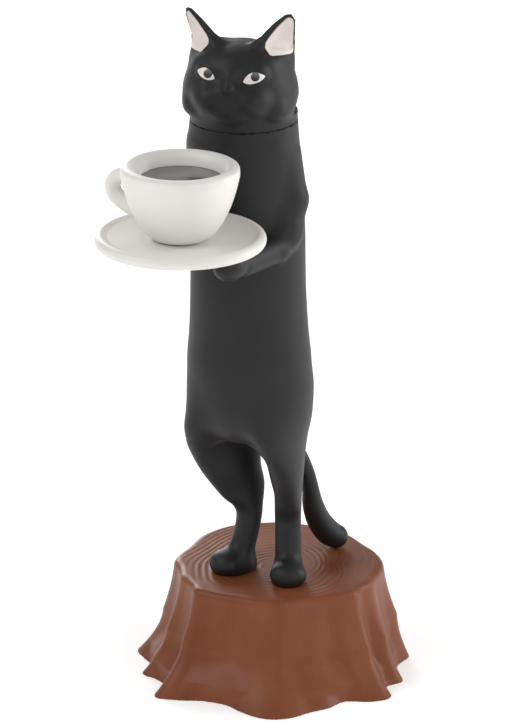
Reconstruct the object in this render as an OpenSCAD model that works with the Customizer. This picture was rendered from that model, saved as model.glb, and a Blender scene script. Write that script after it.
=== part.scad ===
// Display figure: an upright black cat on a tree stump, carrying a cup of coffee on a saucer.
// The cat faces -Y and its left side is +X. The origin is the centre of the stump's underside.

/* [Stump] */
// Height of the stump's flat top above the table
stump_h = 11.8; // [10.5:0.1:14]
// Radius of the stump's flat top
stump_top_r = 12; // [11.2:0.1:13.5]
// Radius that the spreading roots reach at the table
stump_root_r = 16.6; // [15.6:0.1:18.5]
// Number of roots around the stump
root_count = 8; // [7:1:10]
// Wall of the hollow stump moulding
stump_wall = 1.7; // [1.4:0.1:2]
// Thickness of the plate that closes the stump from below
plate_t = 1.6; // [1.2:0.1:2.2]

/* [Cat] */
// Distance from the stump's centre forward to the middle of the body
body_forward = 6; // [5:0.1:6.4]
// Height of the seam between the legs and the body
hip_z = 26.8; // [25.5:0.1:28.5]
// Height of the seam between the body and the head
neck_z = 67.6; // [66:0.1:71]
// Radius of the body at the belly
belly_r = 7; // [6.4:0.1:7.8]
// Radius of the body at the chest
chest_r = 6.3; // [5.9:0.1:6.5]
// Radius of the neck
neck_r = 5.6; // [5.2:0.1:5.8]
// Width of the head across the cheeks
head_w = 12.5; // [11.4:0.1:14]
// Height of the head from the neck seam to the crown
head_h = 9.2; // [8.6:0.1:10.4]
// Angle that the face is turned towards the cat's left
head_yaw = 14; // [-15:1:18]
// Angle that each foot is turned outwards
foot_splay = 30; // [15:1:35]

/* [Cup and saucer] */
// Radius of the saucer
saucer_r = 9.3; // [8.2:0.1:11]
// Thickness of the saucer at its middle
saucer_t = 1.2; // [1:0.1:1.5]
// Radius of the cup at its rim
cup_r = 6.6; // [6:0.1:7]
// Height of the cup
cup_h = 8.5; // [7.4:0.1:8.8]
// Thickness of the cup's rim
cup_lip = 1.3; // [1:0.1:1.5]

/* [Fits] */
// Radial clearance of each peg in its socket
peg_gap = 0.05; // [0.02:0.01:0.08]
// Width of the glue line where a limb meets the body
glue_gap = 0.04; // [0.02:0.01:0.08]
// Gap between the saucer's edge and the chest
saucer_gap = 0.15; // [0.1:0.05:1]

/* [Hidden] */
$fn = 64;

black = [0.06, 0.06, 0.065];
brown = [0.42, 0.17, 0.09];
white = [0.9, 0.88, 0.84];
dark_coffee = [0.07, 0.05, 0.045];

body_y = -body_forward;
chest_swell = 0.05;
neck_y = body_y - 1.1;
serve_y = body_y - chest_r - chest_swell - saucer_gap - saucer_r;
bone = neck_z - hip_z;

// The stump's top edge is rounded, and its feet end a little above the roots' tips.
stump_edge_r = 0.9;
stump_waist_r = stump_top_r + 0.4;
stump_skirt_r = stump_root_r - 1.6;
top_t = 2.4;
plate_r = stump_skirt_r - stump_wall;
boss_r = 2.4;

// The foot pegs stand under the feet, and both are upright so that the cat pulls straight off.
foot_peg_r = 1.2;
foot_peg_l = 4.2;
ankle_x = 2.3;
ankle_y = body_y + 3.9;
foot_reach = 1.7;

// The hip, neck, shoulder, tail and saucer pegs.
hip_peg_r = 1.3;
hip_peg_l = 3.2;
leg_gap = 0.3;
hip_ring_r = belly_r - 1.05;
thigh_w = (hip_ring_r - leg_gap) / 2;
hip_x = thigh_w + leg_gap / 2;
neck_peg_r = 2.2;
neck_peg_l = 3.4;
shoulder_peg_r = 1.1;
shoulder_peg_in = 3.2;
shoulder_z = neck_z - 6.6;
tail_peg_r = 0.75;
saucer_pin_r = 0.55;
saucer_pin_l = 1.3;

// The saucer lies on the two paws, and the cup stands in its shallow well.
saucer_z = neck_z - 11.25;
saucer_rim_r = 0.55;
well_r = 4;
cup_z = saucer_z + saucer_t;
paw_x = 4.6;
paw_back = 2.8;
paw_y = serve_y + paw_back;
cup_foot_r = 3.2;
coffee_depth = 1.3;
coffee_t = 1;
handle_r = 2;
handle_bar_r = 0.7;

// Clearance between pieces that lift or turn and what they rest on.
seat_gap = 0.03;

// A smooth curve through a list of stations, each of which may hold any count of numbers.
function blend(a, b, c, d, t) =
    0.5 * (2 * b + (c - a) * t + (2 * a - 5 * b + 4 * c - d) * t * t + (3 * b - a - 3 * c + d) * t * t * t);
function smooth(s, steps) = [
    for (i = [0 : len(s) - 2], k = [0 : steps - 1])
        blend(s[max(i - 1, 0)], s[i], s[i + 1], s[min(i + 2, len(s) - 1)], k / steps),
    s[len(s) - 1]
];

// One level ring of a station [z, x, y, half width, half depth, turn].
function level_ring(s, n) = [
    for (k = [0 : n - 1])
        let (u = s[3] * cos(360 * k / n), v = s[4] * sin(360 * k / n))
        [s[1] + u * cos(s[5]) - v * sin(s[5]), s[2] + u * sin(s[5]) + v * cos(s[5]), s[0]]
];

// One ring across a limb at place i of its stations [x, y, z, radius].
function place(s) = [s[0], s[1], s[2]];
function unit(v) = v / norm(v);
function across_ring(s, i, n) =
    let (
        along = unit(place(s[min(i + 1, len(s) - 1)]) - place(s[max(i - 1, 0)])),
        up = unit(cross([1, 0, 0], along)),
        side = cross(up, along)
    )
    [for (k = [0 : n - 1]) place(s[i]) + s[i][3] * (side * cos(360 * k / n) + up * sin(360 * k / n))];

// A closed skin over a stack of rings, which turn anticlockwise about the way that they climb.
module skin(rings) {
    n = len(rings[0]);
    top = len(rings) - 1;
    polyhedron(
        points = [for (r = rings) each r],
        faces = [
            [for (k = [0 : n - 1]) k],
            [for (k = [n - 1 : -1 : 0]) top * n + k],
            for (i = [0 : top - 1], k = [0 : n - 1]) [i * n + k, (i + 1) * n + k, (i + 1) * n + (k + 1) % n],
            for (i = [0 : top - 1], k = [0 : n - 1]) [i * n + k, (i + 1) * n + (k + 1) % n, i * n + (k + 1) % n]
        ],
        convexity = 4
    );
}

// Everything that the cat has on both sides is built on its left and mirrored.
module on_side(side) {
    mirror([side > 0 ? 0 : 1, 0, 0]) children();
}

// ---- Stump ----
function stump_side() = [
    [stump_skirt_r, 0], [stump_skirt_r - 0.9, 2], [stump_waist_r + 0.6, stump_h * 0.5],
    [stump_waist_r, stump_h * 0.75]
];

module stump_core() {
    rotate_extrude() {
        polygon([
            [0, 0], for (p = stump_side()) p, [stump_top_r, stump_h - stump_edge_r],
            [stump_top_r - stump_edge_r, stump_h], [0, stump_h]
        ]);
        translate([stump_top_r - stump_edge_r, stump_h - stump_edge_r]) circle(stump_edge_r);
    }
}

// Each root is a leaning cone that starts inside the stump's top and grows to its full reach at the table.
module roots() {
    root_top_r = 0.9;
    root_x = stump_top_r - root_top_r + 0.1;
    for (i = [0 : root_count - 1])
        rotate([0, 0, -59 + 360 * i / root_count])
            translate([root_x, 0, 0]) cylinder(h = stump_h - 1, r1 = stump_root_r - root_x, r2 = root_top_r);
}

// The hollow keeps one wall from the side, and steps in above the plate to leave a ledge for it.
module stump_hollow() {
    ledge_w = 0.9;
    side = stump_side();
    rotate_extrude()
        polygon([
            [0, -1], [plate_r, -1], [plate_r, plate_t], [plate_r - ledge_w, plate_t],
            side[2] - [stump_wall, 0], side[3] - [stump_wall, 0],
            [stump_waist_r - stump_wall, stump_h - top_t], [0, stump_h - top_t]
        ]);
}

module foot_places() {
    for (side = [-1, 1])
        translate([side * (ankle_x + foot_reach * sin(foot_splay)), ankle_y - foot_reach * cos(foot_splay), 0])
            children();
}

module stump_shell() {
    color(brown)
        difference() {
            union() {
                difference() {
                    union() {
                        stump_core();
                        roots();
                    }
                    stump_hollow();
                }
                foot_places() translate([0, 0, plate_t + 2]) cylinder(h = stump_h - plate_t - 3, r = boss_r);
            }
            foot_places()
                translate([0, 0, stump_h - foot_peg_l - 0.4])
                    cylinder(h = foot_peg_l + 1, r = foot_peg_r + peg_gap);
        }
}

module stump_base_plate() {
    color(brown) cylinder(h = plate_t, r = plate_r - peg_gap);
}

// ---- Body ----
function body_profile() = smooth([
    [hip_ring_r, 0], [belly_r - 0.4, bone * 0.05], [belly_r, bone * 0.17], [belly_r - 0.2, bone * 0.3],
    [chest_r, bone * 0.48], [chest_r + chest_swell, bone * 0.68], [chest_r, bone * 0.8], [chest_r - 0.5, bone * 0.89],
    [neck_r - 0.4, bone * 0.955]
], 3);

module body_form(grow) {
    profile = body_profile();
    translate([0, body_y, hip_z])
        rotate_extrude()
            polygon([
                [0, -grow], [profile[0][0] + grow, -grow], for (p = profile) [p[0] + grow, p[1]],
                [0, bone * 0.97]
            ]);
    translate([0, neck_y, neck_z - bone * 0.15])
        cylinder(h = bone * 0.15, r1 = chest_r - 0.75 + grow, r2 = neck_r + grow);
}

module torso() {
    color(black)
        difference() {
            union() {
                body_form(0);
                translate([0, neck_y, neck_z - 1]) cylinder(h = neck_peg_l + 1, r = neck_peg_r);
            }
            for (side = [-1, 1]) on_side(side) {
                translate([hip_x, body_y + 0.3, hip_z - 1]) cylinder(h = hip_peg_l + 1.3, r = hip_peg_r + peg_gap);
                translate([chest_r - shoulder_peg_in - 0.3, body_y - 0.4, shoulder_z])
                    rotate([0, 90, 0]) cylinder(h = 9, r = shoulder_peg_r + peg_gap);
            }
            tail_peg(peg_gap, 0.3);
        }
}

// ---- Head ----
module head_skin() {
    half = head_w / 2;
    skin([
        for (s = smooth([
            [seat_gap, 0, 0, half - 0.55, half - 0.75, 0], [head_h * 0.1, 0, 0, half - 0.15, half - 0.4, 0],
            [head_h * 0.3, 0, 0, half, half - 0.2, 0], [head_h * 0.52, 0, 0, half - 0.3, half - 0.5, 0],
            [head_h * 0.74, 0, 0, half - 1.1, half - 1.2, 0], [head_h * 0.9, 0, 0, half - 2.3, half - 2.4, 0],
            [head_h * 0.98, 0, 0, half - 4, half - 4, 0], [head_h, 0, 0, half - 5.6, half - 5.6, 0]
        ], 2)) level_ring(s, 32)
    ]);
}

module muzzle() {
    hull() {
        for (side = [-1, 1])
            translate([side * 1.1, -head_w * 0.38, head_h * 0.4]) sphere(1.9, $fn = 24);
        translate([0, -head_w * 0.38, head_h * 0.22]) sphere(1.6, $fn = 24);
    }
}

module ear() {
    hull() {
        translate([head_w * 0.43, 0, head_h + 2.85]) sphere(0.35, $fn = 16);
        translate([head_w * 0.13, -0.3, head_h - 0.9]) sphere(0.5, $fn = 16);
        translate([head_w * 0.42, 0, head_h - 2.6]) sphere(0.6, $fn = 16);
        translate([head_w * 0.29, 1.6, head_h - 2]) sphere(0.9, $fn = 16);
    }
}

module head() {
    color(black)
        translate([0, neck_y, neck_z]) rotate([0, 0, head_yaw])
            difference() {
                union() {
                    head_skin();
                    muzzle();
                    for (side = [-1, 1]) on_side(side) ear();
                }
                translate([0, 0, -1]) cylinder(h = neck_peg_l + 1.3, r = neck_peg_r + peg_gap);
            }
}

// ---- Limbs ----
module arm(side) {
    elbow_z = saucer_z - 2.4;
    paw_z = saucer_z - 1.7;
    stations = smooth([
        [chest_r - 1.9, body_y - 0.5, neck_z - 2.6, 0.9], [chest_r - 1.4, body_y - 0.4, neck_z - 4.2, 1.8],
        [chest_r - 1.1, body_y - 0.5, neck_z - 7.4, 2], [chest_r - 1, body_y - 1.1, elbow_z + 3.6, 2],
        [chest_r - 0.8, body_y - 2.5, elbow_z + 1, 1.9], [chest_r - 0.8, body_y - 4.5, elbow_z, 1.7],
        [chest_r - 1.2, body_y - 7.3, elbow_z, 1.55], [paw_x + 0.2, paw_y + 1.6, paw_z - 0.3, 1.65],
        [paw_x, paw_y, paw_z, 1.7], [paw_x - 0.15, paw_y - 1.3, paw_z + 0.05, 1.1],
        [paw_x - 0.2, paw_y - 1.7, paw_z + 0.05, 0.4]
    ], 3);
    color(black)
        on_side(side) {
            difference() {
                skin([for (i = [0 : len(stations) - 1]) across_ring(stations, i, 20)]);
                body_form(glue_gap);
                saucer_form(glue_gap);
                saucer_pins(peg_gap, 0.2);
            }
            translate([chest_r - shoulder_peg_in, body_y - 0.4, shoulder_z])
                rotate([0, 90, 0]) cylinder(h = shoulder_peg_in + 0.4, r = shoulder_peg_r);
        }
}

module arm_left() {
    arm(1);
}

module arm_right() {
    arm(-1);
}

// The leg's lower stations lie along the way that the foot points, so they are given as reach from the ankle.
module leg(side) {
    function at(z, reach, half_w, half_d) = [
        z, ankle_x + reach * sin(foot_splay), ankle_y - reach * cos(foot_splay), half_w, half_d, foot_splay
    ];
    shin = hip_z - stump_h;
    sole = stump_h + seat_gap;
    stations = smooth([
        at(sole, foot_reach, 1.6, 2.8), at(stump_h + 0.6, foot_reach, 1.95, 3.2),
        at(stump_h + 1.6, foot_reach, 2, 3.2), at(stump_h + 2.8, 1, 1.75, 2.5),
        at(stump_h + 4, 0.2, 1.5, 1.7), at(stump_h + shin * 0.4, 0, 1.45, 1.5),
        at(stump_h + shin * 0.55, 0.1, 1.5, 1.85), at(stump_h + shin * 0.65, 0.7, 1.75, 2.8),
        at(stump_h + shin * 0.78, 2, 2.1, 3.8), [hip_z - 1.6, hip_x - 0.05, body_y + 0.3, thigh_w - 0.2, hip_ring_r - 1.3, 10],
        [hip_z - glue_gap, hip_x, body_y + 0.1, thigh_w, hip_ring_r - 0.8, 0]
    ], 3);
    color(black)
        on_side(side) {
            skin([for (s = stations) level_ring(s, 28)]);
            translate([hip_x, body_y + 0.3, hip_z - 1]) cylinder(h = hip_peg_l + 1, r = hip_peg_r);
            translate([
                ankle_x + foot_reach * sin(foot_splay), ankle_y - foot_reach * cos(foot_splay),
                stump_h - foot_peg_l
            ]) cylinder(h = foot_peg_l + 1, r = foot_peg_r);
        }
}

module leg_left() {
    leg(1);
}

module leg_right() {
    leg(-1);
}

// The tail leaves the rump a little to the cat's left and ends in a thick tip that lies on the stump.
tail_root = [0.5, body_y + belly_r - 1.6, hip_z + 1.6];

module tail_peg(grow, deeper) {
    translate(tail_root) rotate([65, 0, 0]) translate([0, 0, -1])
        cylinder(h = 3.4 + deeper, r = tail_peg_r + grow);
}

module tail() {
    tip_r = 1.75;
    tip_z = stump_h + seat_gap + tip_r;
    stations = smooth([
        tail_station(0, 0.9), tail_station(0.12, 1.25), [1.4, 3, hip_z - 2.6, 1.25],
        [2.2, 4.5, hip_z - 6.4, 1.2], [3.1, 5.2, hip_z - 9.6, 1.45], [4, 5.9, tip_z + 1.1, 1.7],
        [4.7, 6.5, tip_z, tip_r], [5.3, 7.1, tip_z - 0.3, 1.2], [5.5, 7.3, tip_z - 0.4, 0.5]
    ], 3);
    color(black) {
        difference() {
            skin([for (i = [0 : len(stations) - 1]) across_ring(stations, i, 20)]);
            body_form(glue_gap);
        }
        tail_peg(0, 0);
    }
}

function tail_station(t, r) = [0.4 + 6 * t, body_y + belly_r - 2 + 14 * t, hip_z + 2 - 4 * t, r];

// ---- Cup and saucer ----
module saucer_form(grow) {
    rim_x = saucer_r - saucer_rim_r;
    rim_z = saucer_t + 0.25;
    translate([0, serve_y, saucer_z])
        rotate_extrude() {
            polygon([
                [0, -grow], [well_r, -grow], [rim_x, rim_z - saucer_rim_r - grow],
                [rim_x, rim_z + saucer_rim_r], [well_r, saucer_t], [0, saucer_t]
            ]);
            translate([rim_x, rim_z]) circle(saucer_rim_r + grow);
        }
}

module saucer_pins(grow, deeper) {
    for (side = [-1, 1])
        translate([side * paw_x, paw_y, saucer_z - saucer_pin_l - deeper])
            cylinder(h = saucer_pin_l + deeper + 0.6, r = saucer_pin_r + grow);
}

module saucer() {
    color(white) {
        saucer_form(0);
        saucer_pins(0, 0);
    }
}

module cup_bowl() {
    rim_x = cup_r - cup_lip / 2;
    rim_z = cup_h - cup_lip / 2;
    rotate_extrude() {
        polygon([
            [0, 0], [cup_foot_r, 0], for (p = smooth([
                [cup_foot_r, 0], [cup_foot_r + 0.95, cup_h * 0.12], [cup_r - 1.5, cup_h * 0.34],
                [cup_r - 0.6, cup_h * 0.64], [cup_r, rim_z]
            ], 4)) p,
            [rim_x, rim_z], [0, rim_z]
        ]);
        translate([rim_x, rim_z]) circle(cup_lip / 2);
    }
}

module cup_handle() {
    translate([-cup_r + 0.7, 0, cup_h * 0.56])
        rotate([90, 0, 0])
            rotate_extrude() translate([handle_r, 0]) circle(handle_bar_r);
}

module cup() {
    recess_z = cup_h - coffee_depth - coffee_t;
    color(white)
        translate([0, serve_y, cup_z + seat_gap])
            difference() {
                union() {
                    cup_bowl();
                    cup_handle();
                }
                translate([0, 0, recess_z]) cylinder(h = coffee_t + 4, r = cup_r - cup_lip);
            }
}

module coffee() {
    color(dark_coffee)
        translate([0, serve_y, cup_z + seat_gap + cup_h - coffee_depth - coffee_t])
            cylinder(h = coffee_t, r = cup_r - cup_lip - peg_gap);
}

stump_shell();
stump_base_plate();
torso();
head();
arm_left();
arm_right();
leg_left();
leg_right();
tail();
saucer();
cup();
coffee();
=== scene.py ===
# %% [markdown]
# # A black cat that serves coffee on a tree stump
# This lesson builds the looks of a small display figure, 80 mm tall: a black cat stands on a fluted
# brown stump and carries a cup of coffee on a saucer. The real figure is moulded in vinyl and then
# sprayed, so nearly every form is soft, closed and seamless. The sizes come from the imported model,
# which Blender loads first and never changes. Every form here is sculpted with numbers in
# millimetres and turned into a mesh in metres at the end.

import math

import bmesh
import bpy
import numpy as np
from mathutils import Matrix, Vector


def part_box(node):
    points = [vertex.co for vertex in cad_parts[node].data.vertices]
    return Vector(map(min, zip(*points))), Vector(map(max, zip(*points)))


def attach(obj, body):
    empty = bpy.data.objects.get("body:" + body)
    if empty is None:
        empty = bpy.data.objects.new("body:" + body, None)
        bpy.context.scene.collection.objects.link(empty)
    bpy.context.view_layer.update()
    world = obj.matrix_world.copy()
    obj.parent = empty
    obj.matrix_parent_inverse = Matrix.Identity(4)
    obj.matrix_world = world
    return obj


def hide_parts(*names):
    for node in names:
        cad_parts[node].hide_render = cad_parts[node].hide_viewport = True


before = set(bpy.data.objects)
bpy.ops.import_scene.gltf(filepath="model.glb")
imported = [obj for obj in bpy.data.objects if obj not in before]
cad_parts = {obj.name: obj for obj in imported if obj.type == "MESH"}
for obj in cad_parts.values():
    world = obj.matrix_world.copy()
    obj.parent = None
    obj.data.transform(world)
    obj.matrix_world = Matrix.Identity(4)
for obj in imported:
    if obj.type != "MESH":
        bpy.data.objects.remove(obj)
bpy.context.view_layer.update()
MM = 0.001
print("CAD nodes:", sorted(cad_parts))


def node_box(node):
    """Lowest and highest corner of a CAD node, in millimetres."""
    low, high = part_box(node)
    return np.array(low) / MM, np.array(high) / MM


# %% [markdown]
# ## The camera comes first
# A camera far away with a long lens flattens the perspective, as a catalogue picture of a small
# figure does. It looks down a little, so the coffee and the top of the stump show.

# %% Place the camera
def aim(thing, place, target):
    """Points a camera or a lamp at a target. Both points are in millimetres."""
    thing.location = Vector(place) * MM
    thing.rotation_euler = (Vector(target) - Vector(place)).to_track_quat("-Z", "Y").to_euler()


camera_data = bpy.data.cameras.new("catalogue_camera")
camera_data.sensor_fit = "VERTICAL"
camera_data.sensor_height = 36
camera_data.lens = 279
camera_data.clip_start = 0.05
camera_data.clip_end = 20
camera = bpy.data.objects.new("catalogue_camera", camera_data)
bpy.context.scene.collection.objects.link(camera)
bpy.context.scene.camera = camera
camera_aim = (-1.63, -1.40, 36.66)
camera_way = (0.4425, -0.8323, 0.3338)
camera_distance = 640
aim(camera, [t + camera_distance * w for t, w in zip(camera_aim, camera_way)], camera_aim)
print("camera at", [round(c, 3) for c in camera.location])

# %% [markdown]
# ## Sculpting with distances
# A moulded figure has no edges where one form grows out of another. A handy way to model that is
# to describe each form by its distance: a function that says how far each point lies from the
# skin, negative inside. Two distances can be melted together with a soft fillet, or one carved
# out of the other, and the skin is found only once, at the very end. Mirrored forms cost nothing.

# %% Basic forms
def ball(p, centre, radius):
    """Distance to a ball."""
    return np.linalg.norm(p - np.array(centre), axis=1) - radius


def egg(p, centre, radii):
    """Distance to an egg with three half widths."""
    q = (p - np.array(centre)) / np.array(radii)
    k0 = np.linalg.norm(q, axis=1) + 1e-9
    k1 = np.linalg.norm(q / np.array(radii), axis=1) + 1e-9
    return k0 * (k0 - 1) / k1


def limb(p, a, b, radius_a, radius_b):
    """Distance to a limb that tapers from one round end to the other."""
    a, b = np.array(a, float), np.array(b, float)
    along = b - a
    t = np.clip((p - a) @ along / (along @ along), 0, 1)
    return np.linalg.norm(p - a - t[:, None] * along, axis=1) - (radius_a + (radius_b - radius_a) * t)


def chain(p, table):
    """Distance to a chain of limbs. Each row gives a place and the radius there."""
    form = limb(p, table[0][:3], table[1][:3], table[0][3], table[1][3])
    for a, b in zip(table[1:-1], table[2:]):
        form = np.minimum(form, limb(p, a[:3], b[:3], a[3], b[3]))
    return form


def melt(a, b, fillet):
    """Joins two forms with a fillet of about that width."""
    h = np.clip(0.5 + 0.5 * (b - a) / fillet, 0, 1)
    return b + (a - b) * h - fillet * h * (1 - h)


def carve(a, tool, fillet):
    """Cuts a tool out of a form and softens the edge."""
    return -melt(-a, tool, fillet)


def flow(stations, steps=12):
    """A smooth curve through a list of stations, as a dense table of rows."""
    s = np.array(stations, float)
    padded = np.vstack([s[0], s, s[-1]])
    rows = []
    for i in range(len(s) - 1):
        a, b, c, d = padded[i:i + 4]
        for t in np.arange(steps) / steps:
            rows.append(0.5 * (2 * b + (c - a) * t + (2 * a - 5 * b + 4 * c - d) * t ** 2
                               + (3 * b - a - 3 * c + d) * t ** 3))
    return np.vstack([rows, s[-1:]])


pair = melt(np.array([0.1]), np.array([0.1]), 0.4)
print("two skins 0.1 mm away melt into one", round(float(pair[0]), 3), "mm away")

# %% [markdown]
# ## From distances to a mesh
# A grid of small cubes is laid over the form. Each cube that the skin crosses gets one point,
# and neighbouring points are joined into four-sided faces. Blocks of cubes that lie far from the
# skin are skipped, so the whole cat takes seconds. Each point is then pulled exactly onto the skin,
# and the slope of the distance there is the surface normal, which gives flawless soft shading.

# %% Find the skin of a form
def in_parts(shape, points, size=300000):
    """Works out a shape's distances for many points without filling the memory."""
    return np.concatenate([shape(points[i:i + size]) for i in range(0, len(points), size)])


def grid_spots(counts):
    """Every whole-number corner of a grid, one a row."""
    return np.stack(np.meshgrid(*[np.arange(n) for n in counts], indexing="ij"), -1).reshape(-1, 3)


def grid_values(shape, low, counts, step, block=8):
    """Distances at every grid corner near the skin, and only the sign further away."""
    blocks = -(-counts // block)
    spots = grid_spots(blocks)
    middles = low + (spots * block + block / 2) * step
    far = in_parts(shape, middles)
    values = np.repeat(np.repeat(np.repeat(far.reshape(blocks), block, 0), block, 1), block, 2)
    near = spots[np.abs(far) < 1.25 * block * step]
    inner = grid_spots([block] * 3)
    for i in range(0, len(near), 500):
        corners = (near[i:i + 500, None, :] * block + inner[None]).reshape(-1, 3)
        values[tuple(corners.T)] = shape(low + corners * step)
    return values[:counts[0], :counts[1], :counts[2]]


def slope(shape, points, reach=0.01):
    """Direction in which the distance grows, found from six neighbours."""
    result = np.zeros_like(points)
    for axis in range(3):
        offset = np.zeros(3)
        offset[axis] = reach
        rise = in_parts(shape, points + offset) - in_parts(shape, points - offset)
        result[:, axis] = rise / (2 * reach)
    return result


def cell_points(values, low, step):
    """One point in each cell that the skin crosses, and the cells' numbers on the grid."""
    corners = [np.array(c) for c in np.ndindex(2, 2, 2)]
    ends = np.array(values.shape) - 1
    inside = [values[tuple(slice(c, c + e) for c, e in zip(corner, ends))] < 0 for corner in corners]
    total = sum(x.astype(np.int8) for x in inside)
    cells = np.argwhere((total > 0) & (total < 8))
    number = -np.ones(total.shape, np.int64)
    number[tuple(cells.T)] = np.arange(len(cells))
    place, hits = np.zeros((len(cells), 3)), np.zeros(len(cells))
    for a in corners:
        for b in corners:
            if (b - a).sum() == 1 and (b >= a).all():
                va, vb = values[tuple((cells + a).T)], values[tuple((cells + b).T)]
                crosses = (va < 0) != (vb < 0)
                t = np.where(crosses, va / np.where(crosses, va - vb, 1), 0)
                place += crosses[:, None] * (a + t[:, None] * (b - a))
                hits += crosses
    return low + step * (cells + place / hits[:, None]), number


def cell_faces(inside, number):
    """A four-sided face round each grid edge that the skin crosses."""
    faces = []
    for axis in range(3):
        u, v = (axis + 1) % 3, (axis + 2) % 3
        ahead = np.take(inside, range(1, inside.shape[axis]), axis)
        here = np.take(inside, range(inside.shape[axis] - 1), axis)
        for flip in (False, True):
            edges = np.argwhere((ahead != here) & (here != flip))
            edges = edges[(edges[:, u] > 0) & (edges[:, v] > 0)]
            du, dv = np.eye(3, dtype=int)[u], np.eye(3, dtype=int)[v]
            ring = [edges - du - dv, edges - dv, edges, edges - du]
            quad = np.stack([number[tuple(r.T)] for r in (ring[::-1] if flip else ring)], 1)
            faces.append(quad[(quad >= 0).all(1)])
    return np.concatenate(faces)


def skin_of(shape, low, high, step):
    """Points, four-sided faces and normals of the skin inside a box."""
    low, high = np.array(low, float), np.array(high, float)
    counts = np.ceil((high - low) / step).astype(int) + 1
    values = grid_values(shape, low, counts, step)
    points, number = cell_points(values, low, step)
    faces = cell_faces(values < 0, number)
    for _ in range(3):
        n = slope(shape, points)
        size = np.maximum((n ** 2).sum(1), 0.05)
        pull = np.clip(in_parts(shape, points) / size, -step, step)
        points = points - pull[:, None] * n
    n = slope(shape, points)
    return points, faces, n / np.maximum(np.linalg.norm(n, axis=1), 1e-9)[:, None]


body_step, head_step, china_step = 0.22, 0.15, 0.16
print("grid steps in mm: body", body_step, "head", head_step, "china", china_step)

# %% Make a closed mesh of it
def piece(name, points, faces, normals=None):
    """A closed Blender mesh from millimetre points. Open rims are filled with a hidden fan."""
    bm = bmesh.new()
    corners = [bm.verts.new(Vector(p) * MM) for p in points]
    for f in faces:
        bm.faces.new([corners[i] for i in f])
    rims = [e for e in bm.edges if e.is_boundary]
    if rims:
        fill = bmesh.ops.holes_fill(bm, edges=rims, sides=0)["faces"]
        bmesh.ops.poke(bm, faces=fill)
    mesh = bpy.data.meshes.new(name)
    bm.to_mesh(mesh)
    bm.free()
    mesh.shade_smooth()
    if normals is not None:
        table = np.zeros((len(mesh.vertices), 3))
        table[:len(normals)] = normals
        own = np.array([[*p.normal] for p in mesh.polygons])
        loops = [tuple(table[v]) if p.index < len(faces) else tuple(own[p.index])
                 for p in mesh.polygons for v in p.vertices]
        mesh.normals_split_custom_set(loops)
    thing = bpy.data.objects.new(name, mesh)
    bpy.context.scene.collection.objects.link(thing)
    print(name, len(mesh.vertices), "points,", len(mesh.polygons), "faces")
    return thing


def fit_out(thing, paint, body, slot, *nodes):
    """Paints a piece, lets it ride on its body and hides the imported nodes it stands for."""
    thing.data.materials.append(paint)
    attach(thing, body)
    if nodes:
        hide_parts(*nodes)


# %% [markdown]
# ## Finishes
# The cat is sprayed with a satin black, the china with a dull off-white and the stump with a
# warm, half-dull brown. Spray paint is never quite even: it pools a little, and it has a very fine
# grain. Each finish is a Principled shader whose colour and roughness drift with soft noise, with a
# fine bump on top. All numbers that are the same all over sit on the shader itself.

# %% Small helpers for shader nodes
def new_paint(name):
    """A material, its node tree's nodes and links, and its shader."""
    made = bpy.data.materials.new(name)
    made.use_nodes = True
    nodes, links = made.node_tree.nodes, made.node_tree.links
    return made, nodes, links, nodes["Principled BSDF"]


def colour_ramp(nodes, stops):
    """A colour ramp from places and linear colours."""
    tint = nodes.new("ShaderNodeValToRGB")
    ramp = tint.color_ramp.elements
    while len(ramp) < len(stops):
        ramp.new(0.5)
    for element, (place, colour) in zip(ramp, stops):
        element.position = place
        element.color = (*colour, 1)
    return tint


def uneven_gloss(nodes, links, shader, noise, roughness, spread):
    """Lets the roughness drift a little either way with a noise."""
    rough = nodes.new("ShaderNodeMapRange")
    rough.inputs["To Min"].default_value = roughness - spread
    rough.inputs["To Max"].default_value = roughness + spread
    links.new(noise.outputs["Fac"], rough.inputs["Value"])
    links.new(rough.outputs["Result"], shader.inputs["Roughness"])


def fine_bump(nodes, links, shader, noise, strength, depth):
    """Raises the grain of a noise by a depth in millimetres."""
    bump = nodes.new("ShaderNodeBump")
    bump.inputs["Strength"].default_value = strength
    bump.inputs["Distance"].default_value = depth * MM
    links.new(noise.outputs["Fac"], bump.inputs["Height"])
    links.new(bump.outputs["Normal"], shader.inputs["Normal"])


# %% A recipe for sprayed paint
def sprayed(name, light, dark, roughness, cloud, grain, grain_depth, shine=0.5, coat=0.0,
            stretch=(1, 1, 1)):
    """A sprayed finish. Colours are linear, cloud and grain are sizes in millimetres."""
    made, nodes, links, shader = new_paint(name)
    shader.inputs["Specular IOR Level"].default_value = shine
    shader.inputs["Coat Weight"].default_value = coat
    shader.inputs["Coat Roughness"].default_value = 0.18
    where = nodes.new("ShaderNodeTexCoord")
    sized = nodes.new("ShaderNodeMapping")
    sized.inputs["Scale"].default_value = [1 / (cloud * MM) * s for s in stretch]
    links.new(where.outputs["Object"], sized.inputs["Vector"])
    drift = nodes.new("ShaderNodeTexNoise")
    drift.inputs["Scale"].default_value = 1
    drift.inputs["Detail"].default_value = 4
    links.new(sized.outputs["Vector"], drift.inputs["Vector"])
    tint = colour_ramp(nodes, [(0.3, dark), (0.7, light)])
    links.new(drift.outputs["Fac"], tint.inputs["Fac"])
    links.new(tint.outputs["Color"], shader.inputs["Base Color"])
    uneven_gloss(nodes, links, shader, drift, roughness, 0.05)
    speck = nodes.new("ShaderNodeTexNoise")
    speck.inputs["Scale"].default_value = 1 / (grain * MM)
    speck.inputs["Detail"].default_value = 2
    links.new(where.outputs["Object"], speck.inputs["Vector"])
    fine_bump(nodes, links, shader, speck, 0.6, grain_depth)
    return made


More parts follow.
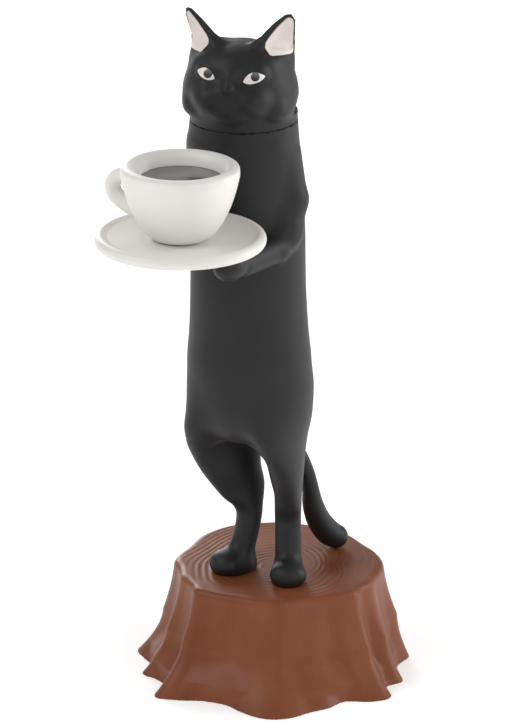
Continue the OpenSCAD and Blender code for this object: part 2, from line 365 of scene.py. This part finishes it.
satin_black = sprayed("satin_black", (0.0155, 0.0155, 0.0165), (0.0115, 0.0115, 0.0125), 0.52, 6,
                      0.25, 0.012, shine=0.3)
china_white = sprayed("china_white", (0.82, 0.80, 0.76), (0.78, 0.76, 0.715), 0.42, 8, 0.3, 0.006)
stump_brown = sprayed("stump_brown", (0.225, 0.07, 0.029), (0.17, 0.048, 0.019), 0.42, 5, 0.35,
                      0.015, shine=0.22, stretch=(1, 1, 0.35))
print("sprayed finishes:", [m.name for m in bpy.data.materials])

# %% [markdown]
# ## The stump
# On the real figure the stump is one hollow moulding: a flat top with growth rings, and a skirt of
# roots that falls like cloth in a dozen or so folds. A turned shape alone would look like a
# bucket. So the outline is given at three heights, at the table, half way up and at the top edge,
# each as radii around the compass, and the skin flows through them. The rings are pressed into the
# top as shallow wavy grooves, and two round sockets take the pegs under the cat's feet.

# %% The stump's outline at three heights
root_folds = [  # degrees, radius at the table, half way up, at the top
    (-174, 15.0, 12.7, 11.8), (-165, 16.2, 13.1, 11.7), (-155, 15.0, 12.0, 11.0), (-147, 14.2, 11.6, 10.8),
    (-138, 15.6, 12.6, 10.9), (-130, 14.6, 11.9, 10.7), (-122, 14.6, 11.9, 10.8), (-114, 17.3, 13.2, 11.3),
    (-106, 16.2, 12.5, 10.9), (-96, 14.4, 12.0, 10.6), (-86, 14.0, 11.5, 10.4), (-76, 15.6, 12.2, 10.6),
    (-66, 17.2, 12.6, 10.9), (-57, 17.2, 12.9, 11.1), (-47, 15.9, 12.2, 10.9), (-38, 15.4, 12.3, 10.9),
    (-28, 14.6, 12.0, 11.0), (-19, 16.6, 13.1, 11.5), (-11, 17.3, 14.0, 12.0), (-3, 15.2, 12.8, 11.8),
    (6, 16.1, 13.9, 12.1), (14, 14.6, 13.0, 12.1), (24, 14.6, 13.3, 12.4), (34, 15.9, 14.4, 12.8),
    (48, 14.7, 13.4, 13.0), (65, 16.3, 14.2, 13.1), (82, 14.7, 13.8, 14.1), (100, 16.3, 15.0, 14.4),
    (118, 15.3, 14.5, 14.7), (136, 16.9, 15.4, 14.6), (153, 15.1, 14.1, 13.6), (172, 16.6, 14.1, 12.0),
]
turned_back = [(a - 360, *r) for a, *r in root_folds[-3:]]
turned_on = [(a + 360, *r) for a, *r in root_folds[:3]]
fold_table = flow(turned_back + root_folds + turned_on, 10)
stump_top = node_box("stump_shell")[1][2]
plate_r, _, plate_top = node_box("stump_base_plate")[1]
print("stump", round(stump_top, 2), "mm high, plate radius", round(plate_r, 2))

# %% The growth rings and the places of the foot pegs
peg_x, peg_y, peg_r, peg_low = 3.15, -3.57, 1.2, node_box("leg_left")[0][2]
peg_length, peg_play = 4.22, 0.06
ring_width, ring_depth = 0.74, 0.027


def growth_rings(x, y):
    """Depth of the ring grooves in the top, which wander round a small knot."""
    knot = np.exp(-((x - 6.9) ** 2 + (y - 4.7) ** 2) / 4)
    angle = np.arctan2(y + 0.6, x + 0.3)
    bend = 1 + 0.06 * np.sin(2 * angle + 1) + 0.035 * np.sin(3 * angle - 0.5)
    bend = bend + 0.02 * np.sin(7 * angle)
    from_heart = np.hypot(x + 0.3, (y - 0.4) * 0.9) * bend
    turns = 2 * np.pi * (from_heart + 1.3 * knot) / ring_width
    wave = np.sin(turns + 1.1 * np.sin(3 * angle + 0.5 * from_heart))
    fade = 0.45 + 0.4 * np.sin(2 * angle + 0.9 * from_heart)
    fade = fade + 0.15 * np.sin(5 * angle - 1.3 * from_heart)
    return ring_depth * np.maximum(fade, 0.04) * wave


print("rings", ring_width, "mm apart, pegs", round(peg_length, 2), "mm long")

# %% The stump's skin
half_way = 0.46 * stump_top
skirt_wall = 0.7


def stump_form(p):
    x, y, z = p.T
    around = np.degrees(np.arctan2(y, x))
    foot, waist, brim = [np.interp(around, fold_table[:, 0], fold_table[:, i]) for i in (1, 2, 3)]
    up = np.clip(z / half_way, 0, 1)
    high = np.clip((z - half_way) / (stump_top - half_way), 0, 1)
    side = np.where(z < half_way, waist + (foot - waist) * (1 - up) ** 1.7,
                    waist + (brim - waist) * (1 - (1 - high) ** 1.6))
    round_plate = plate_r + skirt_wall - 0.9 * np.clip(z - 1.9, 0, 9)
    side = -melt(-side, -round_plate, 0.7)
    out = (np.hypot(x, y) - side) * 0.85
    top = z - stump_top + growth_rings(x, y)
    form = -melt(-out, -top, 0.8)
    form = np.maximum(form, -z)
    recess = np.maximum(np.hypot(x, y) - plate_r - 0.06, z - plate_top - 0.02)
    form = carve(form, recess, 0.05)
    socket = np.hypot(np.abs(x) - peg_x, y - peg_y) - peg_r - peg_play
    return carve(form, np.maximum(socket, peg_low - 0.3 - z), 0.1)


stump = piece("stump", *skin_of(stump_form, (-17.6, -17.6, -0.35), (17.6, 17.6, 12.4), body_step))
fit_out(stump, stump_brown, "stump", "stump", "stump_shell")
base_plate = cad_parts["stump_base_plate"]
base_plate.data.materials.clear()
base_plate.data.materials.append(stump_brown)

# %% [markdown]
# ## The body, the arms, the legs and the tail
# The cat stands upright like a waiter: a long, nearly straight body, slim shins, big thighs and a
# tail that falls behind the left leg and ends in a thick tip on the stump. All of it is one
# sprayed skin on the real figure, and the seams between its mouldings can't be seen. So the whole
# cat below the neck is sculpted as one form, and only afterwards its skin is shared out between the
# body, the arms, the legs and the tail, so that each stays a piece of its own.

# %% Level stations of the body and the legs
body_stations = [  # height, middle x, middle y, half width, half depth, turn in degrees
    (29.8, 0, -5.6, 3.6, 3.2, 0), (31.0, 0, -5.6, 5.0, 4.8, 0), (32.4, 0, -5.65, 6.0, 5.95, 0),
    (34.2, 0, -5.7, 6.6, 6.6, 0), (36.5, 0, -5.7, 7.02, 6.95, 0), (39.5, 0, -5.85, 7.0, 6.95, 0),
    (43.0, 0, -5.95, 6.7, 6.65, 0), (48.0, 0, -6.1, 6.5, 6.45, 0), (54.0, 0, -6.2, 6.5, 6.25, 0),
    (59.0, -0.05, -6.35, 6.5, 6.05, 0), (62.5, -0.08, -6.8, 6.5, 6.2, 0),
    (65.0, -0.05, -7.2, 6.33, 6.15, 0), (66.4, 0, -7.15, 6.12, 6.05, 0), (67.7, 0, -7.1, 6.0, 6.0, 0),
]
ankle_x, ankle_y, splay = 2.75, -1.8, 30
toe_way = np.array([math.sin(math.radians(splay)), -math.cos(math.radians(splay))])
leg_stations = [  # height, middle x, middle y, half width, half depth, turn in degrees
    (11.0, 3.2, -2.5, 1.4, 1.5, splay), (12.8, 3.15, -2.4, 1.5, 1.6, splay),
    (14.6, 2.95, -1.95, 1.5, 1.5, splay), (16.6, 2.65, -1.4, 1.5, 1.42, splay),
    (18.4, 2.5, -1.15, 1.5, 1.5, splay), (19.6, 2.6, -1.35, 1.52, 1.85, splay),
    (20.7, 2.85, -1.8, 1.54, 2.55, splay), (22.2, 3.12, -2.35, 1.6, 3.2, splay),
    (24.6, 3.55, -3.5, 1.9, 3.85, 28), (27.2, 3.78, -4.25, 2.2, 4.8, 22),
    (29.6, 3.7, -4.8, 2.6, 5.9, 14), (32.2, 3.55, -5.3, 3.1, 6.4, 6),
    (36.0, 3.2, -5.4, 3.0, 5.4, 0), (39.0, 3.0, -5.5, 2.0, 3.6, 0),
]
body_table, leg_table = flow(body_stations), flow(leg_stations)
print("the foot points along", toe_way.round(2))


def stack(p, table):
    """Distance to a stack of level, possibly turned, elliptical stations."""
    z = p[:, 2]
    x, y, wide, deep, turn = [np.interp(z, table[:, 0], table[:, i]) for i in range(1, 6)]
    c, s = np.cos(np.radians(turn)), np.sin(np.radians(turn))
    u, v = (p[:, 0] - x) * c + (p[:, 1] - y) * s, (p[:, 1] - y) * c - (p[:, 0] - x) * s
    k0 = np.hypot(u / wide, v / deep) + 1e-9
    k1 = np.hypot(u / wide ** 2, v / deep ** 2) + 1e-9
    side = k0 * (k0 - 1) / k1
    ends = np.maximum(table[0, 0] - z, z - table[-1, 0])
    return np.maximum(side, ends)


# %% The body, one arm, one leg and the tail
neck_z, sole_z, seam_gap = 67.6, peg_low + peg_length, 0.01


def mirrored(p):
    """The cat's right side is folded onto its left."""
    return np.column_stack([np.abs(p[:, 0]), p[:, 1], p[:, 2]])


def body_form(p):
    form = stack(p, body_table)
    chest = egg(p, (0, -7.9, 60.5), (5.0, 4.9, 5.5))
    return melt(form, chest, 1.5)


def arm_form(q):
    shoulder = limb(q, (4.3, -6.5, 63.4), (4.95, -6.3, 58.8), 2.1, 2.4)
    upper = limb(q, (4.9, -6.3, 58.6), (5.2, -7.9, 55.2), 2.35, 2.25)
    elbow = limb(q, (5.2, -7.6, 55.6), (5.25, -9.8, 54.0), 2.15, 1.75)
    fore = limb(q, (5.3, -9.8, 53.9), (4.75, -16.6, 54.1), 1.65, 1.5)
    paw = egg(q, (4.5, -18.6, 54.55), (1.75, 2.5, 1.75))
    arm = melt(melt(shoulder, upper, 0.6), melt(elbow, fore, 0.5), 0.5)
    return melt(arm, paw, 0.35)


def leg_form(q):
    shank = stack(q, leg_table)
    heel = np.array([ankle_x, ankle_y, 0])
    ahead = np.array([*toe_way, 0])
    across = np.array([-toe_way[1], toe_way[0], 0])
    local = np.column_stack([(q - heel) @ across, (q - heel) @ ahead, q[:, 2]])
    foot = egg(local, (0, 1.3, 12.4), (1.7, 2.6, 1.5))
    toes = egg(local, (0, 2.6, 12.9), (2.1, 1.75, 1.5))
    foot = melt(foot, toes, 0.6)
    for x in (-0.72, 0.72):
        between_toes = limb(local, (x * 1.35, 5.0, 13.4), (x * 1.2, 4.4, 11.8), 0.12, 0.14)
        foot = carve(foot, between_toes, 0.25)
    leg = np.maximum(melt(shank, foot, 1.3), sole_z - q[:, 2])
    peg_side = np.hypot(q[:, 0] - peg_x, q[:, 1] - peg_y) - peg_r
    peg = np.maximum(peg_side, np.abs(q[:, 2] - peg_low - 2.5) - 2.45)
    return melt(leg, peg, 0.1)


tail_stations = [  # x, y, z, radius
    (0.5, -1.5, 29.0, 0.9), (1.0, 0.6, 27.6, 1.2), (2.0, 2.1, 25.2, 1.05), (2.65, 3.1, 22.9, 0.9),
    (2.8, 3.8, 20.8, 0.95), (2.6, 4.8, 18.4, 1.2), (2.6, 6.3, 15.9, 1.4), (3.05, 7.9, 13.9, 1.5),
    (3.6, 8.8, 13.2, 1.37),
]
tail_table = flow(tail_stations, 4)


def tail_form(p):
    return np.maximum(chain(p, tail_table), sole_z - p[:, 2])


def cat_form(p):
    q = mirrored(p)
    form = melt(body_form(p), leg_form(q), 1.7)
    form = melt(form, arm_form(q), 0.8)
    form = melt(form, tail_form(p), 0.5)
    return np.maximum(form, p[:, 2] - neck_z + seam_gap)


cat_points, cat_faces, cat_normals = skin_of(cat_form, (-8.2, -22, 7.2), (8.2, 11.4, 68), body_step)
print("cat skin:", len(cat_points), "points")

# %% [markdown]
# ### Sharing out the skin
# A face near a shoulder goes to the body or to an arm, whichever lies closer. The legs take all
# that is below the hips, and the tail what hugs its own form behind. The open rim that this leaves
# on each piece is closed by a hidden fan inside the cat. The normals stay those of the whole skin,
# so the light runs across the joins as if they weren't there.

# %% Split the skin into its pieces
hip_z, tail_front, tail_reach = 25.9, 0.9, 0.35
centres = cat_points[cat_faces].mean(1)
to_body = in_parts(lambda p: np.minimum(body_form(p), 9), centres)
is_arm = in_parts(lambda p: arm_form(mirrored(p)), centres) < to_body
is_tail = (in_parts(tail_form, centres) < tail_reach) & (centres[:, 1] > tail_front)
is_leg = (centres[:, 2] < hip_z) & ~is_tail
is_arm = is_arm & ~is_leg & ~is_tail
is_left = centres[:, 0] > 0
pieces_of_cat = {
    "torso": ~(is_arm | is_leg | is_tail),
    "arm_left": is_arm & is_left, "arm_right": is_arm & ~is_left,
    "leg_left": is_leg & is_left, "leg_right": is_leg & ~is_left, "tail": is_tail,
}
for name, mine in pieces_of_cat.items():
    used, place = np.unique(cat_faces[mine], return_inverse=True)
    part = piece("cat_" + name, cat_points[used], place.reshape(-1, 4), cat_normals[used])
    fit_out(part, satin_black, "cat", "fur", name)

# %% [markdown]
# ## The head
# The head is sculpted in its own frame: sideways, forward and up from the middle of the neck, so
# that both halves are mirrored, and it is turned only at the end. It is nearly an egg, with a flat
# face, heavy brows, full cheeks over the neck and two big ears that open outwards. The face
# is low relief, a millimetre at most, and the light makes it.

# %% The head's own frame
yaw = math.radians(14)
neck_middle = np.array([0, -7.1, 0])
to_left = np.array([math.cos(yaw), math.sin(yaw), 0])
forward = np.array([math.sin(yaw), -math.cos(yaw), 0])


def to_head(p):
    """From the model's frame to sideways, forward and up."""
    d = p - neck_middle
    return np.column_stack([d @ to_left, d @ forward, d[:, 2]])


def paired(q):
    """Folds one half of the head onto the other, with a soft crease in the middle."""
    return np.column_stack([np.sqrt(q[:, 0] ** 2 + 0.04), q[:, 1], q[:, 2]])


def from_head(q):
    """From sideways, forward and up back to the model's frame."""
    q = np.array(q, float).reshape(-1, 3)
    return neck_middle + q[:, :1] * to_left + q[:, 1:2] * forward + q[:, 2:] * (0, 0, 1)


ear_inner, ear_outer = np.array([2.84, 3.1, 77.1]), np.array([5.5, -0.4, 75.0])
ear_tip = np.array([5.5, 2.6, 80.4])
ear_u = (ear_outer - ear_inner) / np.linalg.norm(ear_outer - ear_inner)
ear_w = np.cross(ear_tip - ear_inner, ear_outer - ear_inner)
ear_w /= np.linalg.norm(ear_w)
ear_v = np.cross(ear_u, ear_w)
ear_v *= np.sign(ear_v[2])
ear_opening = np.array([(0.22, -0.1), (0.2, 1.4), (0.28, 2.7), (0.6, 4.0), (1.0, 4.25), (1.75, 4.0),
                        (2.95, 2.5), (3.62, 1.6), (3.85, 1.05), (3.75, 0.68), (2.87, 0.38), (1.7, -0.05),
                        (0.72, -0.35)])
print("the ears open towards", ear_w.round(2))


def outline_distance(u, v, corners):
    """Distance in a plane to a closed outline, negative inside."""
    best, inside = np.full(len(u), 1e9), np.zeros(len(u), bool)
    for (u0, v0), (u1, v1) in zip(corners, np.roll(corners, -1, 0)):
        du, dv = u1 - u0, v1 - v0
        t = np.clip(((u - u0) * du + (v - v0) * dv) / (du ** 2 + dv ** 2), 0, 1)
        best = np.minimum(best, np.hypot(u - u0 - t * du, v - v0 - t * dv))
        inside ^= ((v0 > v) != (v1 > v)) & (u < du * (v - v0) / (dv + 1e-12) + u0)
    return np.where(inside, -best, best)


# %% The ear and the face
def ear_form(q):
    """The ear's shell, and the shallow dish that is carved into its front."""
    d = q - ear_inner
    u, v, w = d @ ear_u, d @ ear_v, d @ ear_w
    edge = outline_distance(u, v, ear_opening)
    thick = np.clip(0.5 - 0.07 * v, 0.2, 0.7)
    rim = 0.2 + 0.2 * np.clip(1.6 - u, 0, 1) + 0.25 * np.clip(0.6 - v, 0, 1)
    rounding = 0.18
    across = np.maximum(edge - rim + rounding, 0)
    through = np.maximum(np.abs(w + thick - 0.1) - thick + rounding, 0)
    shell = np.hypot(across, through) - rounding
    deep = np.minimum(0.04 + 0.4 * np.clip(-edge / 1.3, 0, 1) ** 0.7, 2 * thick - 0.32)
    dish = np.maximum(np.maximum(edge - 0.09, -(w + deep)), w - 2.5)
    return shell, dish


def face_form(q):
    """The head without its ears."""
    two = paired(q)
    skull = egg(q, (-0.15, 0.95, 72.15), (6.12, 6.4, 4.62))
    jowls = egg(q, (-0.15, 0.75, 70.5), (6.17, 5.95, 3.2))
    ruff = egg(two, (4.4, 2.4, 69.95), (1.8, 3.1, 1.6))
    cheeks = egg(two, (2.3, 5.5, 71.4), (1.9, 2.1, 1.6))
    chin = egg(q, (0, 5.9, 70.2), (2.2, 1.6, 1.5))
    forehead = egg(q, (0, 3.1, 74.85), (4.5, 2.55, 1.75))
    bridge = limb(q, (0, 4.7, 75.0), (0, 6.95, 73.4), 0.8, 0.5)
    eye_sockets = egg(two, (1.9, 7.5, 73.9), (1.3, 1.3, 0.8))
    eyeballs = ball(two, (2.65, 4.65, 74.1), 1.5)
    nose = egg(q, (0, 7.3, 72.95), (0.55, 0.62, 0.4))
    lip = limb(q, (0, 7.9, 72.5), (0, 7.75, 71.2), 0.12, 0.1)
    form = melt(skull, jowls, 1.6)
    for part, fillet in ((ruff, 0.6), (cheeks, 0.9), (chin, 0.7), (forehead, 1.5), (bridge, 1.1)):
        form = melt(form, part, fillet)
    form = melt(carve(form, eye_sockets, 0.9), eyeballs, 0.3)
    return carve(melt(form, nose, 0.25), lip, 0.35)


def head_form(p):
    """The head with its ears, cut level at the neck."""
    q = to_head(p)
    two = paired(q)
    ear_roots = egg(two, (3.75, 0.5, 75.0), (2.0, 1.9, 1.6))
    form = melt(face_form(q), ear_roots, 1.6)
    shell, dish = ear_form(two)
    form = melt(form, carve(shell, dish, 0.16), 1.3)
    collar = np.maximum(np.hypot(q[:, 0], q[:, 1]) - 5.98, np.abs(q[:, 2] - 68.0) - 0.6)
    return np.maximum(melt(form, collar, 0.9), neck_z + seam_gap - q[:, 2])


head = piece("cat_head", *skin_of(head_form, (-7.6, -16.5, 67.2), (7.6, 0.5, 81.4), head_step))
fit_out(head, satin_black, "head", "fur", "head")

# %% [markdown]
# ## Eyes and ears
# The eyes are printed on the real figure as crisp shapes. Here each is a thin shell laid on the
# face: an outline is drawn straight on the face, rings of points run in from it, and each point is
# dropped onto the skin. The pupils glance to the cat's left, half under their lids, and are painted
# lighter grey towards the top as a painted reflection. The inside of each ear is a thin pink lining
# in the dish, painted lighter towards its bottom as painted light where it faces up.

# %% Thin shells that lie on the skin
def drop_on_face(sideways, height):
    """How far forward the skin lies at each place, found by walking in from the front."""
    ahead = np.full(len(sideways), 10.0)
    for _ in range(60):
        q = np.column_stack([sideways, ahead, height])
        ahead = ahead - 0.8 * face_form(q)
    return ahead


def shell_from_rings(name, rings_top, rings_under):
    """Closes two stacks of rings, each ending in one middle point, into a thin shell."""
    count = len(rings_top[0])
    points, faces = [], []
    for rings in (rings_top, rings_under):
        start = len(points)
        for ring in rings[:-1]:
            points.extend(ring)
        points.append(np.mean(rings[-1], 0))
        middle = len(points) - 1
        turn = 1 if rings is rings_top else -1
        for r in range(len(rings) - 2):
            for k in range(count):
                a, b = start + r * count + k, start + r * count + (k + 1) % count
                faces.append([a, b, b + count, a + count][::turn])
        last = start + (len(rings) - 2) * count
        for k in range(count):
            faces.append([last + k, last + (k + 1) % count, middle][::turn])
    under = (len(rings_top) - 1) * count + 1
    for k in range(count):
        faces.append([(k + 1) % count, k, under + k, under + (k + 1) % count])
    thing = piece(name, np.array(points), faces)
    bm = bmesh.new()
    bm.from_mesh(thing.data)
    bmesh.ops.recalc_face_normals(bm, faces=bm.faces)
    bm.to_mesh(thing.data)
    bm.free()
    return thing


def smooth_outline(corners, steps=8):
    """A closed smooth curve through the corners."""
    loop = np.array(list(corners[-2:]) + list(corners) + list(corners[:2]), float)
    table = flow(loop, steps)
    return table[2 * steps:-2 * steps]


# %% Paint for the eyes and the ear linings
def faded(name, low_z, high_z, stops, roughness):
    """A finish whose colour changes with height above the table, in millimetres at rest."""
    made, nodes, links, shader = new_paint(name)
    where = nodes.new("ShaderNodeTexCoord")
    split = nodes.new("ShaderNodeSeparateXYZ")
    links.new(where.outputs["Object"], split.inputs["Vector"])
    level = nodes.new("ShaderNodeMapRange")
    level.inputs["From Min"].default_value = low_z * MM
    level.inputs["From Max"].default_value = high_z * MM
    links.new(split.outputs["Z"], level.inputs["Value"])
    cloud = nodes.new("ShaderNodeTexNoise")
    cloud.inputs["Scale"].default_value = 700
    links.new(where.outputs["Object"], cloud.inputs["Vector"])
    drift = nodes.new("ShaderNodeMath")
    drift.operation = "MULTIPLY_ADD"
    drift.inputs[1].default_value = 0.1
    links.new(cloud.outputs["Fac"], drift.inputs[0])
    links.new(level.outputs["Result"], drift.inputs[2])
    tint = colour_ramp(nodes, stops)
    links.new(drift.outputs["Value"], tint.inputs["Fac"])
    links.new(tint.outputs["Color"], shader.inputs["Base Color"])
    uneven_gloss(nodes, links, shader, cloud, roughness, 0.04)
    fine_bump(nodes, links, shader, cloud, 0.4, 0.004)
    return made


eye_white = sprayed("eye_white", (0.80, 0.74, 0.70), (0.78, 0.71, 0.67), 0.45, 3, 0.2, 0.002)
# Pupil paint: near black at the bottom and lighter grey towards the top. The lighter top is a painted
# reflection.
pupil_with_painted_reflection = faded("pupil_with_painted_reflection", 73.85, 74.95, [
    (0.0, (0.012, 0.012, 0.013)), (0.35, (0.02, 0.02, 0.022)), (0.75, (0.13, 0.13, 0.135)),
], 0.35)
# Ear lining paint: pink towards the top, and painted near white towards the bottom as painted light where
# the lining faces up to the lamps.
ear_pink_with_painted_light = faded("ear_pink_with_painted_light", 74.8, 80, [
    (0.0, (0.80, 0.76, 0.72)), (0.3, (0.76, 0.69, 0.655)), (0.9, (0.69, 0.60, 0.565)),
], 0.5)
print("paints for the face:", eye_white.name, pupil_with_painted_reflection.name, ear_pink_with_painted_light.name)

# %% The eyes
eye_outline = np.array([
    (1.5, 73.62), (1.7, 74.12), (2.15, 74.6), (2.7, 74.84), (3.3, 74.76),
    (3.93, 74.36), (3.55, 73.86), (2.95, 73.56), (2.35, 73.42), (1.8, 73.47),
])


def face_patch(name, outline, middle, side, lift, edge_lift):
    """A thin shell over an outline on the face, thicker in its middle."""
    tops, unders = [], []
    for share in (1, 0.94, 0.82, 0.66, 0.48, 0.3, 0.14, 0.0):
        ring = np.array(middle) + (outline - np.array(middle)) * share
        ahead = drop_on_face(side * ring[:, 0], ring[:, 1])
        rise = edge_lift + (lift - edge_lift) * min(1, (1 - share) * 5)
        tops.append(from_head(np.column_stack([side * ring[:, 0], ahead + rise, ring[:, 1]])))
        unders.append(from_head(np.column_stack([side * ring[:, 0], ahead - 0.12, ring[:, 1]])))
    return shell_from_rings(name, tops, unders)


def clipped_disc(middle, radius, outline, inset):
    """A round outline that stops just inside another outline."""
    around = np.linspace(0, 2 * np.pi, 72, endpoint=False)
    rays = np.column_stack([np.cos(around), np.sin(around)])
    reach = np.full(len(around), radius)
    for _ in range(40):
        spot = np.array(middle) + rays * reach[:, None]
        over = outline_distance(spot[:, 0], spot[:, 1], outline) + inset
        reach = np.where(over > 0, reach - np.maximum(over, 0.002), reach)
    return np.array(middle) + rays * reach[:, None]


whole_eye, corner_out = smooth_outline(eye_outline), np.array([3.93, 74.3])
print("eye outline has", len(whole_eye), "points")
for side, label, glance in ((1, "left", 0.06), (-1, "right", -0.24)):
    stretched, raised = (1.05, -0.03) if side > 0 else (0.93, 0.12)
    almond = corner_out + (whole_eye - corner_out) * (stretched, 1) + (0, raised)
    white = face_patch("eye_" + label, almond, (2.65, 74.05), side, 0.05, -0.04)
    middle = (2.76 + glance, 74.28)
    disc = clipped_disc(middle, 0.52, almond, 0.02)
    pupil = face_patch("pupil_" + label, disc, (middle[0], middle[1] - 0.05), side, 0.085, 0.03)
    fit_out(white, eye_white, "head", "fur")
    fit_out(pupil, pupil_with_painted_reflection, "head", "fur")

# %% The ear linings
lining = smooth_outline(ear_opening, 6)
lining_middle = np.array([1.75, 1.2])


def drop_in_ear(ring, side):
    """Walks from the front of an ear onto its skin, and gives the places there."""
    q = ear_inner + ring[:, :1] * ear_u + ring[:, 1:] * ear_v
    way = np.full(len(q), 2.2)
    for _ in range(60):
        spot = (q + way[:, None] * ear_w) * (side, 1, 1)
        way = way - 0.6 * head_form(from_head(spot))
    return q, way


for side, label in ((1, "left"), (-1, "right")):
    tops, unders = [], []
    for share in (0.975, 0.95, 0.9, 0.84, 0.78, 0.72, 0.66, 0.59,
                  0.52, 0.44, 0.36, 0.27, 0.18, 0.09, 0.0):
        q, way = drop_in_ear(lining_middle + (lining - lining_middle) * share, side)
        for rise, layers in ((0.11 if share < 0.96 else 0.01, tops), (-0.06, unders)):
            layers.append(from_head((q + (way + rise)[:, None] * ear_w) * (side, 1, 1)))
    inside_ear = shell_from_rings("ear_lining_" + label, tops, unders)
    fit_out(inside_ear, ear_pink_with_painted_light, "head", "fur")

# %% [markdown]
# ## The saucer, the cup and the coffee
# All three are turned shapes, as real china is: a profile spins about an upright axis. The cup is
# thick and soft at its lip, because it is moulded and not thrown, and its handle is a stubby ear
# with a slit of a hole. Distances are used again, so that the handle melts into the bowl.

# %% Turned forms
coffee_low, coffee_high = node_box("coffee")
serve_y = (coffee_low[1] + coffee_high[1]) / 2
cup_foot_z = node_box("cup")[0][2]
print("the cup stands at y", round(serve_y, 2), "with its foot at z", round(cup_foot_z, 2))


def spun(p, corners, rounding):
    """Distance to a profile that is spun about the serving axis and rounded all over."""
    return outline_distance(np.hypot(p[:, 0], p[:, 1] - serve_y), p[:, 2], np.array(corners)) - rounding


# %% The saucer
saucer_base = cup_foot_z - 1.23
saucer_profile = flow([(0, 1.32), (3.5, 1.32), (4.4, 1.38), (6.5, 1.52), (8.0, 1.66), (8.7, 1.72)], 5)
saucer_under = flow([(8.85, 1.25), (8.0, 0.95), (6.2, 0.5), (4.6, 0.2), (3.9, 0.2), (0, 0.25)], 5)
saucer_outline = np.vstack([[-1, 1.32], saucer_profile, saucer_under, [-1, 0.25]]) + (0, saucer_base)


def saucer_form(p):
    r = np.hypot(p[:, 0], p[:, 1] - serve_y)
    bead = np.hypot(r - 8.8, (p[:, 2] - saucer_base - 1.42) * 0.92) - 0.62
    return melt(spun(p, saucer_outline, 0.2), bead, 0.35)


saucer_box = (-9.9, serve_y - 9.9, 55.8), (9.9, serve_y + 9.9, 59.2)
saucer = piece("saucer", *skin_of(saucer_form, *saucer_box, china_step))
fit_out(saucer, china_white, "cat", "china", "saucer")

# %% The cup
cup_outer = flow([(2.3, 0.75), (2.95, 0.9), (3.7, 1.55), (4.5, 2.8), (5.2, 4.3), (5.75, 6.0),
                  (6.12, 7.6)], 5)
cup_inner = flow([(6.1, 8.15), (5.7, 8.25), (5.3, 7.85), (5.1, 7.2), (4.95, 6.5), (3.6, 6.35)], 5)
cup_outline = np.vstack([[-1, 0.75], cup_outer, cup_inner, [-1, 6.35]]) + (0, cup_foot_z)


def cup_form(p):
    bowl = spun(p, cup_outline, 0.42)
    q = p - (0, serve_y, cup_foot_z)
    loop = [(-5.0, 6.6), (-6.7, 6.7), (-7.75, 6.3), (-8.4, 5.3),
            (-8.2, 4.3), (-7.2, 3.5), (-5.9, 2.9), (-4.2, 2.3)]
    handle_table = flow([(x, 0, z, handle_radius) for x, z in loop], 4)
    handle = chain(q * (1, 0.85, 1), handle_table)
    inside_bowl = np.hypot(q[:, 0], q[:, 1]) - 4.6
    return melt(bowl, np.maximum(handle, -inside_bowl), 0.6)


handle_radius = 0.86
cup_box = (-10.4, serve_y - 7.3, 57.2), (7.3, serve_y + 7.3, 66.6)
cup = piece("cup", *skin_of(cup_form, *cup_box, china_step))
fit_out(cup, china_white, "cup", "china", "cup")

# %% The coffee
coffee_paint = sprayed("coffee_gloss", (0.020, 0.015, 0.012), (0.012, 0.009, 0.008), 0.10, 4, 0.8,
                       0.002, shine=0.6, coat=1.0)
surface_z, coffee_r, coffee_depth = coffee_high[2] - 0.1, 5.0, 0.42
tops, unders = [], []
around = np.linspace(0, 2 * np.pi, 96, endpoint=False)
for share in (1, 0.985, 0.95, 0.85, 0.65, 0.4, 0.2, 0.0):
    radius = coffee_r * share
    creep = 0.10 * max(0, (share - 0.93) / 0.07) ** 2
    ripple = 0.012 * np.cos(9 * share)
    ring = np.column_stack([radius * np.cos(around), serve_y + radius * np.sin(around),
                            np.full(len(around), surface_z)])
    tops.append(ring + (0, 0, creep + ripple))
    unders.append(ring - (0, 0, coffee_depth))
coffee = shell_from_rings("coffee", tops, unders)
fit_out(coffee, coffee_paint, "cup", "coffee", "coffee")

# %% [markdown]
# ## Floor and light
# A plain pale floor and large soft lamps, as in a catalogue: one big lamp high at the front left, a
# weaker one at the right, and two strips behind that draw the thin bright lines along the cat's
# dark edges.

# %% The floor
bm = bmesh.new()
bmesh.ops.create_grid(bm, x_segments=40, y_segments=40, size=3)
floor_mesh = bpy.data.meshes.new("floor")
bm.to_mesh(floor_mesh)
bm.free()
floor = bpy.data.objects.new("floor", floor_mesh)
bpy.context.scene.collection.objects.link(floor)
floor_white = sprayed("floor_white", (0.93, 0.93, 0.93), (0.92, 0.92, 0.92), 0.8, 60, 2, 0.01,
                      shine=0.1)
glow = floor_white.node_tree.nodes["Principled BSDF"].inputs
glow["Emission Color"].default_value = (1, 1, 1, 1)
glow["Emission Strength"].default_value = 0.32
floor.data.materials.append(floor_white)

# %% The lamps
def soft_lamp(name, place, target, width, height, power):
    data = bpy.data.lights.new(name, "AREA")
    data.shape = "RECTANGLE"
    data.size, data.size_y = width * MM, height * MM
    data.energy = power
    lamp = bpy.data.objects.new(name, data)
    bpy.context.scene.collection.objects.link(lamp)
    aim(lamp, place, target)
    return lamp


soft_lamp("key_lamp", (-350, -420, 520), (0, -6, 40), 380, 380, 1.7)
soft_lamp("fill_lamp", (480, -260, 260), (0, -6, 40), 300, 300, 0.55)
soft_lamp("rim_lamp_left", (-330, 330, 180), (0, -6, 45), 160, 320, 1.0)
soft_lamp("rim_lamp_right", (380, 300, 200), (0, -6, 45), 160, 320, 1.2)
world = bpy.data.worlds.new("studio")
world.use_nodes = True
world.node_tree.nodes["Background"].inputs["Color"].default_value = (1, 1, 1, 1)
world.node_tree.nodes["Background"].inputs["Strength"].default_value = 0.42
bpy.context.scene.world = world
bpy.context.scene.view_settings.view_transform = "Standard"
